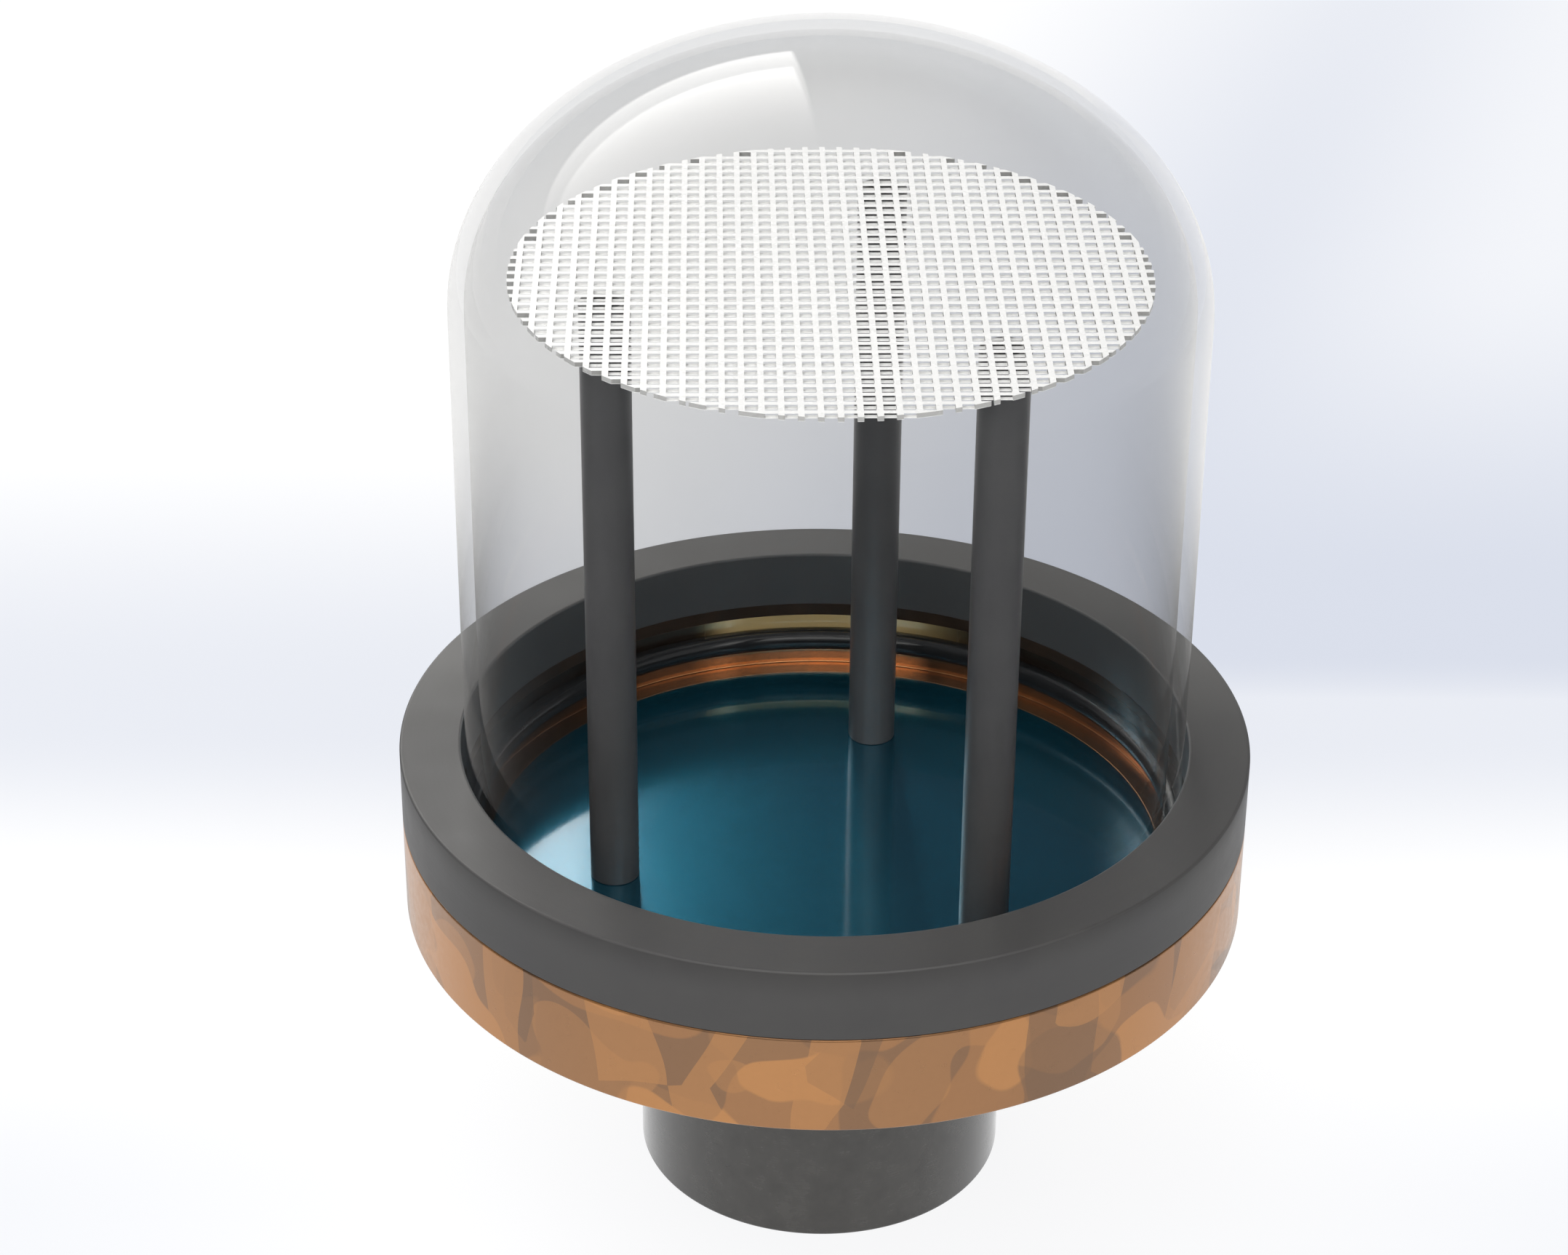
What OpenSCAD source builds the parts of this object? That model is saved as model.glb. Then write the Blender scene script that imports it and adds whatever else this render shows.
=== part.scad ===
// Bench cloud chamber: a glass bell jar over a cold plate, set in a copper base on a cold stem.
// Millimetres. The origin is the middle of the stem's foot, and +Z points up along the jar's axis.

/* [Copper base and stem] */
// Outer diameter of the copper base and of the collar on it
base_d = 148; // [146:1:160]
// Thickness of the copper base
base_h = 17.9; // [16:0.1:20]
// Depth of the recess in the top of the base, down to its floor
recess_depth = 10.3; // [9.5:0.1:10.5]
// Diameter of the cold stem under the base
stem_d = 65.6; // [60:0.2:72]
// Height of the cold stem, with the metal foil on its top
stem_h = 54.8; // [40:0.2:90]
// Edge break on the turned metal parts
edge_break = 0.4; // [0.2:0.1:0.8]

/* [Collar] */
// Bore of the collar, and of the recess that continues it in the base
collar_bore_d = 126.8; // [126.6:0.1:127.4]
// Height of the collar
collar_h = 13.1; // [11:0.1:18]
// Radial width of the flat gasket under the collar's inner edge
gasket_w = 3; // [2:0.1:3.2]
// Height of that gasket, whose inner edge shows as a dark band
gasket_h = 2.4; // [1.6:0.1:3]

/* [Bell jar] */
// Outer diameter of the jar
jar_d = 125.2; // [124.6:0.1:125.4]
// Wall thickness of the jar
jar_wall = 2.7; // [2.4:0.1:3]
// Height of the jar's straight wall, from its rim
jar_straight = 97.4; // [96:0.2:130]
// Height of the jar's rounded top above the straight wall
jar_cap = 44.1; // [38:0.1:60]

/* [Jar seal] */
// Section diameter of the rubber ring that the jar's rim rests on
seal_section = 4.2; // [4:0.1:4.4]
// Height of the ring's middle above the recess floor
seal_rise = 5.75; // [5.5:0.05:6]

/* [Cold plate] */
// Diameter of the blue cold plate
plate_d = 118.8; // [114:0.2:119]
// Thickness of the cold plate
plate_t = 2; // [1.6:0.1:2.4]
// Thickness of the soft metal foils that carry the heat across each joint
foil_t = 0.3; // [0.2:0.05:0.4]

/* [Posts and mesh shelf] */
// Outer diameter of the hollow posts
post_d = 8.5; // [8:0.1:10]
// Bore of the posts
post_bore_d = 5.4; // [5:0.1:5.6]
// Length of the posts
post_l = 109.8; // [90:0.2:112]
// Radius of the circle that the posts stand on
post_circle_r = 38; // [34:0.5:44]
// Turn of the first post from straight back
post_turn = 14; // [0:1:30]
// Diameter of the mesh shelf
mesh_d = 105.6; // [100:0.2:106]
// Thickness of the mesh shelf
mesh_t = 0.85; // [0.6:0.05:1]
// Pitch of the square holes in the shelf
mesh_pitch = 3; // [3:0.5:6]
// Width of the bars between the holes
mesh_bar = 1; // [0.8:0.1:1.4]
// Turn of the mesh about the axis
mesh_turn = 1.3; // [0:0.1:5]

/* [Screws] */
// Number of screws that hold the collar from below
collar_screws_n = 6; // [4:1:8]
// Number of screws that hold the stem
stem_screws_n = 4; // [3:1:6]
// Radius of the circle of stem screws
stem_screw_r = 20; // [16:1:24]

/* [Hidden] */
$fn = 128;
eps = 0.01;
fine_fn = 48;

// Levels, from the foot up
base_bottom = stem_h;
base_top = base_bottom + base_h;
floor_z = base_top - recess_depth;
pocket_z = floor_z - plate_t - foil_t;
collar_top = base_top + collar_h;
shelf_z = floor_z + post_l;
seal_z = floor_z + seal_rise;

// Radii
base_r = base_d / 2;
bore_r = collar_bore_d / 2;
stem_r = stem_d / 2;
plate_r = plate_d / 2;
pocket_gap = 0.1;
foil_inset = 0.3;

// Seal: it sits in a shallow groove in the copper, and the jar's rim stands on it
seal_r = seal_section / 2;
seal_sink = 1;
seal_circle_r = bore_r + seal_sink - seal_r;
groove_gap = 0.05;
rim_gap = 0.05;

// Jar
jar_r = jar_d / 2;
jar_in_r = jar_r - jar_wall;
rim_z = seal_z + seal_r + rim_gap;
rim_break = 0.6;
cap_z = rim_z + jar_straight;
cap_steps = 32;

// Collar screws, M3 with a hexagon socket, from below into brass inserts
collar_screw_in = 4.4;
collar_screw_r = base_r - collar_screw_in;
m3_r = 1.5;
m3_clear_r = 1.7;
m3_head_r = 2.75;
m3_head_h = 3;
m3_sink_r = 3;
m3_sink_depth = 3.3;
m3_l = 20;
m3_hex = 2.5;
m3_hex_depth = 1.5;
insert_r = 2.3;
insert_h = 5.7;
insert_bore_r = 1.55;
insert_hole_h = 7;

// Stem screws, M4 countersunk, heads flush with the floor of the pocket
m4_r = 1.95;
m4_hole_r = 2;
m4_clear_r = 2.2;
m4_head_r = 3.9;
m4_head_h = 2;
m4_sink_r = 4.05;
m4_l = 14;
m4_hole_depth = 11;
m4_hex = 2.5;
m4_hex_depth = 1.3;
head_sink = 0.1;

// Post studs, M6 set screws from the copper through the plate into the foot of each post
m6_r = 2.95;
m6_hole_r = 3;
m6_clear_r = 3.3;
m6_l = 16;
m6_web = 0.8;
m6_hex = 3;
m6_hex_depth = 3;
post_thread_h = 12;
stud_z = base_bottom + m6_web + 0.1;

function post_angle(i) = post_turn + 120 * i;
function ellipse_point(a, b, z, t) = [a * cos(t), z + b * sin(t)];
function cap_arc(a, b, z) = [for (i = [0:cap_steps]) ellipse_point(a, b, z, 90 * i / cap_steps)];

// A hexagon by its width across flats
module hexagon(flats, h) {
    cylinder(r = flats / sqrt(3), h = h, $fn = 6);
}

// Repeats its children round the axis at a radius
module around(count, radius) {
    for (i = [0:count - 1]) rotate([0, 0, 360 * i / count]) translate([radius, 0, 0]) children();
}

// Puts its children on the circle of posts, at post number i counted clockwise from the back
module at_post(i) {
    rotate([0, 0, 90 - post_angle(i)]) translate([post_circle_r, 0, 0]) children();
}

// A disc with both edges broken
module turned_disc(r, z0, z1, b) {
    rotate_extrude() polygon([
        [0, z0], [r - b, z0], [r, z0 + b], [r, z1 - b], [r - b, z1], [0, z1]
    ]);
}

// A flat ring
module washer(r_out, r_in, z0, z1) {
    rotate_extrude() translate([r_in, z0]) square([r_out - r_in, z1 - z0]);
}

// Glass bell jar: straight wall, rounded top and a broken rim, all one wall thickness
module bell_jar() {
    inner_break_z = rim_z + rim_break;
    outer = cap_arc(jar_r, jar_cap, cap_z);
    inner = cap_arc(jar_in_r, jar_cap - jar_wall, cap_z);
    color([0.85, 0.9, 0.95, 0.3]) rotate_extrude() polygon(concat(
        [[jar_r - rim_break, rim_z], [jar_r, inner_break_z]],
        [for (p = outer) [max(p[0], 0), p[1]]],
        [for (i = [cap_steps:-1:0]) [max(inner[i][0], 0), inner[i][1]]],
        [[jar_in_r, inner_break_z], [jar_in_r + rim_break, rim_z]]
    ));
}

// Rubber ring under the jar's rim
module jar_seal() {
    color([0.06, 0.06, 0.06]) rotate_extrude() translate([seal_circle_r, seal_z])
        circle(r = seal_r, $fn = fine_fn);
}

// Dark collar, with a rebate under its inner edge for the gasket and blind holes for the inserts
module collar_ring() {
    b = edge_break;
    rebate_r = bore_r + gasket_w;
    rebate_z = base_top + gasket_h;
    color([0.3, 0.3, 0.3]) difference() {
        rotate_extrude() polygon([
            [rebate_r, base_top], [base_r - b, base_top], [base_r, base_top + b],
            [base_r, collar_top - b], [base_r - b, collar_top], [bore_r + b, collar_top],
            [bore_r, collar_top - b], [bore_r, rebate_z], [rebate_r, rebate_z]
        ]);
        around(collar_screws_n, collar_screw_r) translate([0, 0, base_top - eps])
            cylinder(r = insert_r, h = insert_hole_h + eps);
    }
}

// Flat gasket in the collar's rebate
module collar_gasket() {
    color([0.16, 0.1, 0.06]) washer(bore_r + gasket_w, bore_r, base_top, base_top + gasket_h);
}

// Threaded brass inserts in the collar
module collar_inserts() {
    color([0.78, 0.62, 0.3]) around(collar_screws_n, collar_screw_r) translate([0, 0, base_top])
        difference() {
            cylinder(r = insert_r, h = insert_h);
            translate([0, 0, -eps]) cylinder(r = insert_bore_r, h = insert_h + 2 * eps);
        }
}

// Socket screws up through the copper into the inserts
module collar_screws() {
    head_z = base_bottom + m3_sink_depth - m3_head_h;
    color([0.25, 0.25, 0.27]) around(collar_screws_n, collar_screw_r) translate([0, 0, head_z])
        difference() {
            union() {
                cylinder(r = m3_head_r, h = m3_head_h);
                cylinder(r = m3_r, h = m3_head_h + m3_l);
            }
            translate([0, 0, -eps]) hexagon(m3_hex, m3_hex_depth + eps);
        }
}

// Copper base: recess for the jar, pocket for the cold plate, seal groove and screw holes
module copper_base() {
    color([0.78, 0.53, 0.34]) difference() {
        turned_disc(base_r, base_bottom, base_top, edge_break);
        translate([0, 0, floor_z]) cylinder(r = bore_r, h = recess_depth + eps);
        translate([0, 0, pocket_z]) cylinder(r = plate_r + pocket_gap, h = base_h);
        rotate_extrude() translate([seal_circle_r, seal_z])
            circle(r = seal_r + groove_gap, $fn = fine_fn);
        around(collar_screws_n, collar_screw_r) {
            translate([0, 0, base_bottom - eps]) cylinder(r = m3_clear_r, h = base_h + 2 * eps);
            translate([0, 0, base_bottom - eps]) cylinder(r = m3_sink_r, h = m3_sink_depth + eps);
        }
        around(stem_screws_n, stem_screw_r) {
            translate([0, 0, base_bottom - eps]) cylinder(r = m4_clear_r, h = base_h);
            translate([0, 0, pocket_z - head_sink - m4_head_h])
                cylinder(r1 = m4_clear_r, r2 = m4_sink_r, h = m4_head_h);
            translate([0, 0, pocket_z - head_sink - eps]) cylinder(r = m4_sink_r, h = 1);
        }
        for (i = [0:2]) at_post(i) translate([0, 0, base_bottom + m6_web])
            cylinder(r = m6_hole_r, h = base_h);
    }
}

// A round sheet on the pocket's floor, with holes for the post studs
module pocket_sheet(r, z0, z1) {
    difference() {
        translate([0, 0, z0]) cylinder(r = r, h = z1 - z0);
        for (i = [0:2]) at_post(i) translate([0, 0, z0 - eps])
            cylinder(r = m6_clear_r, h = z1 - z0 + 2 * eps);
    }
}

// Blue cold plate, flush with the recess floor
module cold_plate() {
    color([0.1, 0.3, 0.42]) pocket_sheet(plate_r, pocket_z + foil_t, floor_z);
}

// Soft metal foil under the cold plate
module plate_foil() {
    color([0.75, 0.76, 0.78]) pocket_sheet(plate_r - foil_inset, pocket_z, pocket_z + foil_t);
}

// Hollow post number i, open at the top and threaded at the foot
module post(i) {
    color([0.24, 0.24, 0.25]) at_post(i) translate([0, 0, floor_z]) difference() {
        turned_disc(post_d / 2, 0, post_l, edge_break / 2);
        translate([0, 0, -eps]) cylinder(r = m6_hole_r, h = post_thread_h + eps);
        cylinder(r = post_bore_d / 2, h = post_l + eps);
    }
}

// Set screw of post number i
module stud(i) {
    color([0.6, 0.6, 0.62]) at_post(i) translate([0, 0, stud_z]) difference() {
        cylinder(r = m6_r, h = m6_l);
        translate([0, 0, m6_l - m6_hex_depth]) hexagon(m6_hex, m6_hex_depth + eps);
    }
}

// Square-holed sheet, cut round, that lies loose on the posts
module mesh_shelf() {
    hole = mesh_pitch - mesh_bar;
    half = ceil(mesh_d / 2 / mesh_pitch);
    color([0.92, 0.92, 0.93]) translate([0, 0, shelf_z]) rotate([0, 0, mesh_turn])
        linear_extrude(mesh_t) difference() {
            circle(d = mesh_d);
            for (ix = [-half:half - 1], iy = [-half:half - 1])
                if (norm([ix + 0.5, iy + 0.5]) < half + 0.5)
                    translate([ix * mesh_pitch + mesh_bar / 2, iy * mesh_pitch + mesh_bar / 2])
                        square(hole);
        }
}

// Solid cold stem, with blind holes for its screws
module cold_stem() {
    top = stem_h - foil_t;
    color([0.36, 0.36, 0.34]) difference() {
        turned_disc(stem_r, 0, top, edge_break);
        around(stem_screws_n, stem_screw_r) translate([0, 0, top - m4_hole_depth])
            cylinder(r = m4_hole_r, h = m4_hole_depth + eps);
    }
}

// Soft metal foil between the stem and the base
module stem_foil() {
    r = stem_r - edge_break - foil_inset;
    color([0.75, 0.76, 0.78]) translate([0, 0, stem_h - foil_t]) difference() {
        cylinder(r = r, h = foil_t);
        around(stem_screws_n, stem_screw_r) translate([0, 0, -eps])
            cylinder(r = m4_clear_r, h = foil_t + 2 * eps);
    }
}

// Countersunk screws down through the copper into the stem
module stem_screws() {
    head_top = pocket_z - head_sink;
    color([0.6, 0.6, 0.62]) around(stem_screws_n, stem_screw_r) translate([0, 0, head_top])
        difference() {
            union() {
                translate([0, 0, -m4_head_h]) cylinder(r1 = m4_r, r2 = m4_head_r, h = m4_head_h);
                translate([0, 0, -m4_l]) cylinder(r = m4_r, h = m4_l - m4_head_h);
            }
            translate([0, 0, -m4_hex_depth]) hexagon(m4_hex, m4_hex_depth + eps);
        }
}

bell_jar();
jar_seal();
collar_ring();
collar_gasket();
collar_inserts();
collar_screws();
copper_base();
cold_plate();
plate_foil();
post(0);  // post_back
post(1);  // post_right
post(2);  // post_left
stud(0);  // stud_back
stud(1);  // stud_right
stud(2);  // stud_left
mesh_shelf();
cold_stem();
stem_foil();
stem_screws();
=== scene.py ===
"""Looks of a bench cloud chamber: glass bell jar, blue cold plate, copper base and cold stem.

Lengths are in metres. +Z points up along the jar's axis, +Y to the back and +X to the right, and
the origin is the middle of the stem's foot. Turned parts are profiles carried round the Z axis.
"""

import logging
import math
from dataclasses import dataclass
from enum import Enum
from typing import Sequence, Union

import bpy
import numpy as np
from mathutils import Matrix, Vector


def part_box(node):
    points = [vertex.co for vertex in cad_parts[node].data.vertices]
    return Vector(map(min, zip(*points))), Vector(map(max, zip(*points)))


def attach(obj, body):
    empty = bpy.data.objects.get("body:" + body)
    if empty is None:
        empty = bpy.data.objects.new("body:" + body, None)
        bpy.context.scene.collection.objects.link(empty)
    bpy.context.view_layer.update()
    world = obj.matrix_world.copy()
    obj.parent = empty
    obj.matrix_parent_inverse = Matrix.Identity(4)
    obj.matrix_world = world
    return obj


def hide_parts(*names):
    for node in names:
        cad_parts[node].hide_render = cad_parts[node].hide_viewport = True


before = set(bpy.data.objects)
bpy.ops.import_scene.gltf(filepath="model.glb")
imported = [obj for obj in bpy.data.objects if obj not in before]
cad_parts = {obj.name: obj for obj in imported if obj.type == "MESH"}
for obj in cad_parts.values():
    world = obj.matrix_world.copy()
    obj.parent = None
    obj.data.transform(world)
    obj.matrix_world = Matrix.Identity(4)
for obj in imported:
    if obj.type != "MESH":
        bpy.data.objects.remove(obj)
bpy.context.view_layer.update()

LOG = logging.getLogger("cloud_chamber")
MM = 0.001
TURN = 2 * math.pi
# Edges over this angle stay sharp on a mesh that is shaded by angle.
SHARP = math.radians(32)
# How far past a rounding the point stands that keeps the flat beside it flat.
SUPPORT = 0.02 * MM
# A profile point with less radius than this lies on the axis.
NEAR_AXIS = 1e-9

Range = tuple[float, float]
Point = tuple[float, float, float]
Colour = tuple[float, float, float]
Corner = tuple[float, float, float]
Mesh = tuple[np.ndarray, list]
Socket = bpy.types.NodeSocket
Value = Union[Socket, float, Colour]

# The levels between which soft noise mostly lies.
MOTTLE: Range = (0.3, 0.7)


class Body(Enum):
    """Bodies of the instrument that a piece can move with."""

    BASE = "base"
    JAR = "jar"
    SHELF = "shelf"


class Shading(Enum):
    """How the faces of a mesh meet."""

    FLAT = "flat"
    BY_ANGLE = "by_angle"
    SMOOTH = "smooth"


@dataclass(frozen=True)
class Span:
    """A node's reach at rest: outer radius about its own axis, that axis, and its two levels."""

    radius: float
    centre: tuple[float, float]
    low: float
    high: float

    @classmethod
    def of(cls, node: str) -> "Span":
        """Measures a node.

        Args:
            node: Name of the node.

        Returns:
            The node's reach, taken from its box.
        """
        low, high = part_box(node)
        centre = ((low.x + high.x) / 2, (low.y + high.y) / 2)
        return cls((high.x - low.x) / 2, centre, low.z, high.z)


def rounded(corners: Sequence[Corner], steps: int = 5) -> np.ndarray:
    """Rounds the corners of a turned profile.

    Each corner is (radius from the axis, height, rounding). A corner with rounding f becomes an arc
    of radius f that touches both sides: it starts f / tan(half the corner's angle) before the
    corner and ends as far after it. One more point stands SUPPORT past each end of the arc, so that
    the flat beside it is shaded flat.

    Args:
        corners: Corners in order along the profile.
        steps: Straight pieces in each arc.

    Returns:
        Points as an (n, 2) array of radius and height.
    """
    points = np.array([c[:2] for c in corners], float)
    out = []
    for i, (_, _, rounding) in enumerate(corners):
        here = points[i]
        if rounding <= 0 or i in (0, len(corners) - 1):
            out.append(here)
            continue
        back = points[i - 1] - here
        ahead = points[i + 1] - here
        back /= np.linalg.norm(back)
        ahead /= np.linalg.norm(ahead)
        half = math.acos(float(np.clip(back @ ahead, -1, 1))) / 2
        middle = (back + ahead) / np.linalg.norm(back + ahead)
        centre = here + middle * rounding / math.sin(half)
        first = here + back * rounding / math.tan(half) - centre
        last = here + ahead * rounding / math.tan(half) - centre
        share = np.linspace(0, 1, steps + 1)[:, None]
        sweep = math.pi - 2 * half
        arc = (np.sin((1 - share) * sweep) * first + np.sin(share * sweep) * last) / math.sin(sweep)
        before = centre + first + back * SUPPORT
        beyond = centre + last + ahead * SUPPORT
        out.append(np.vstack([before, centre + arc, beyond]))
    return np.vstack(out)


def section(corners: Sequence[Corner]) -> np.ndarray:
    """Rounds the corners of a closed section. The first corner stays sharp."""
    return rounded([*corners, corners[0]])[:-1]


def turned(profile: np.ndarray, steps: int, closed: bool = False) -> Mesh:
    """Carries a profile round the Z axis.

    Point (i, j) of the grid is (r_i cos a_j, r_i sin a_j, z_i) with a_j = j * full turn / steps. A
    profile point on the axis becomes one shared vertex, so poles are closed.

    Args:
        profile: (n, 2) array of radius and height. Going along it, the material is on the left.
        steps: Number of steps round the axis.
        closed: True if the last point joins the first, as on a ring.

    Returns:
        Vertices as an (m, 3) array, and the faces.
    """
    rows = len(profile)
    pole = profile[:, 0] < NEAR_AXIS
    width = np.where(pole, 1, steps)
    start = np.cumsum(width) - width
    row = np.repeat(np.arange(rows), width)
    angle = (np.arange(len(row)) - start[row]) * TURN / steps
    radius, height = profile[row].T
    verts = np.stack([radius * np.cos(angle), radius * np.sin(angle), height], 1)
    here = np.arange(steps)
    after = (here + 1) % steps
    faces: list = []
    for i in range(rows if closed else rows - 1):
        k = (i + 1) % rows
        lower = [np.full(steps, start[i])] if pole[i] else [start[i] + here, start[i] + after]
        upper = [np.full(steps, start[k])] if pole[k] else [start[k] + after, start[k] + here]
        if not (pole[i] and pole[k]):
            faces.extend(np.stack(lower + upper, 1).tolist())
    return verts, faces


def disc(span: Span, edge: float, steps: int) -> Mesh:
    """Turns a solid disc that fills a span, with both edges rounded."""
    profile = rounded([(0.0, span.low, 0.0), (span.radius, span.low, edge),
                       (span.radius, span.high, edge), (0.0, span.high, 0.0)])
    return turned(profile, steps)


def rod(radius: float, low: float, high: float, steps: int = 40) -> Mesh:
    """Turns a sharp-edged cylinder on the Z axis, to cut with."""
    return turned(np.array([[0, low], [radius, low], [radius, high], [0, high]]), steps)


def drills(circle: float, count: int, radius: float, low: float, high: float) -> Mesh:
    """Makes a ring of equal cylinders, to cut holes with.

    The points of one cylinder are moved by (circle cos a, circle sin a) for each a, where the
    angles a share out a full turn.

    Args:
        circle: Radius of the circle that they stand on.
        count: Number of cylinders.
        radius: Radius of each.
        low: Lower level.
        high: Upper level.

    Returns:
        Vertices and faces of all of them together.
    """
    one, sides = rod(radius, low, high)
    angle = np.arange(count) * TURN / count
    shift = np.stack([circle * np.cos(angle), circle * np.sin(angle), np.zeros(count)], 1)
    verts = (one[None] + shift[:, None]).reshape(-1, 3)
    faces = [(np.array(side) + k * len(one)).tolist() for k in range(count) for side in sides]
    return verts, faces


def blocks(solid: np.ndarray, lines: Sequence[np.ndarray]) -> Mesh:
    """Makes the closed surface round the solid blocks of a grid.

    A square lies wherever a solid block meets an empty one. Its corners are taken anticlockwise as
    seen from the empty side: the two other axes follow the crossed axis in cyclic order.

    Args:
        solid: True for each solid block, numbered along x, y and z.
        lines: Places of the grid's planes along x, y and z.

    Returns:
        Vertices and faces.
    """
    sizes = tuple(len(line) for line in lines)
    full = np.pad(solid.astype(int), 1)
    quads = []
    for a in range(3):
        b, c = (a + 1) % 3, (a + 2) % 3
        change = np.diff(full, axis=a)
        for sense in (-1, 1):
            spot = np.argwhere(change == sense)
            spot[:, [b, c]] -= 1
            corner = np.repeat(spot[:, None], 4, axis=1)
            corner[:, [1, 2], b] += 1
            corner[:, [2, 3], c] += 1
            quad = np.ravel_multi_index(tuple(np.moveaxis(corner, 2, 0)), sizes)
            quads.append(quad if sense < 0 else quad[:, ::-1])
    used, faces = np.unique(np.vstack(quads), return_inverse=True)
    place = np.unravel_index(used, sizes)
    verts = np.stack([line[index] for line, index in zip(lines, place)], 1)
    return verts, faces.reshape(-1, 4).tolist()


def piece(name: str, verts: np.ndarray, faces: Sequence, shading: Shading) -> bpy.types.Object:
    """Makes a mesh object from arrays, with its object at the origin.

    Args:
        name: Name of the piece.
        verts: (n, 3) array of points.
        faces: Lists of vertex numbers, counted anticlockwise from outside.
        shading: How the faces meet.

    Returns:
        The new object.
    """
    mesh = bpy.data.meshes.new(name)
    mesh.from_pydata(verts.tolist(), [], faces)
    mesh.validate()
    obj = bpy.data.objects.new(name, mesh)
    bpy.context.scene.collection.objects.link(obj)
    shade(obj, shading)
    return obj


def shade(obj: bpy.types.Object, shading: Shading) -> None:
    """Sets how a mesh's faces meet.

    Args:
        obj: The object.
        shading: FLAT leaves each face flat, SMOOTH blends all, BY_ANGLE keeps edges over SHARP.
    """
    mesh = obj.data
    mesh.polygons.foreach_set("use_smooth", [shading is not Shading.FLAT] * len(mesh.polygons))
    if shading is Shading.BY_ANGLE:
        mesh.set_sharp_from_angle(angle=SHARP)
    mesh.update()


def cut(obj: bpy.types.Object, verts: np.ndarray, faces: Sequence, keep_inside: bool = False) -> None:
    """Cuts a mesh with a closed one and applies the cut.

    Args:
        obj: The object that is cut.
        verts: Points of the cutter.
        faces: Faces of the cutter.
        keep_inside: True keeps what lies inside the cutter, False what lies outside.
    """
    cutter = piece(obj.name + "_cutter", verts, faces, Shading.FLAT)
    step = obj.modifiers.new("cut", "BOOLEAN")
    step.operation = "INTERSECT" if keep_inside else "DIFFERENCE"
    step.solver = "EXACT"
    step.object = cutter
    graph = bpy.context.evaluated_depsgraph_get()
    graph.update()
    made = bpy.data.meshes.new_from_object(obj.evaluated_get(graph))
    obj.modifiers.clear()
    obj.data = made
    bpy.data.objects.remove(cutter)


def grey(level: float) -> Colour:
    """Returns a neutral colour."""
    return (level, level, level)


def radians(degrees: Range) -> Range:
    """Returns a range of angles in radians."""
    return (math.radians(degrees[0]), math.radians(degrees[1]))


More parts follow.
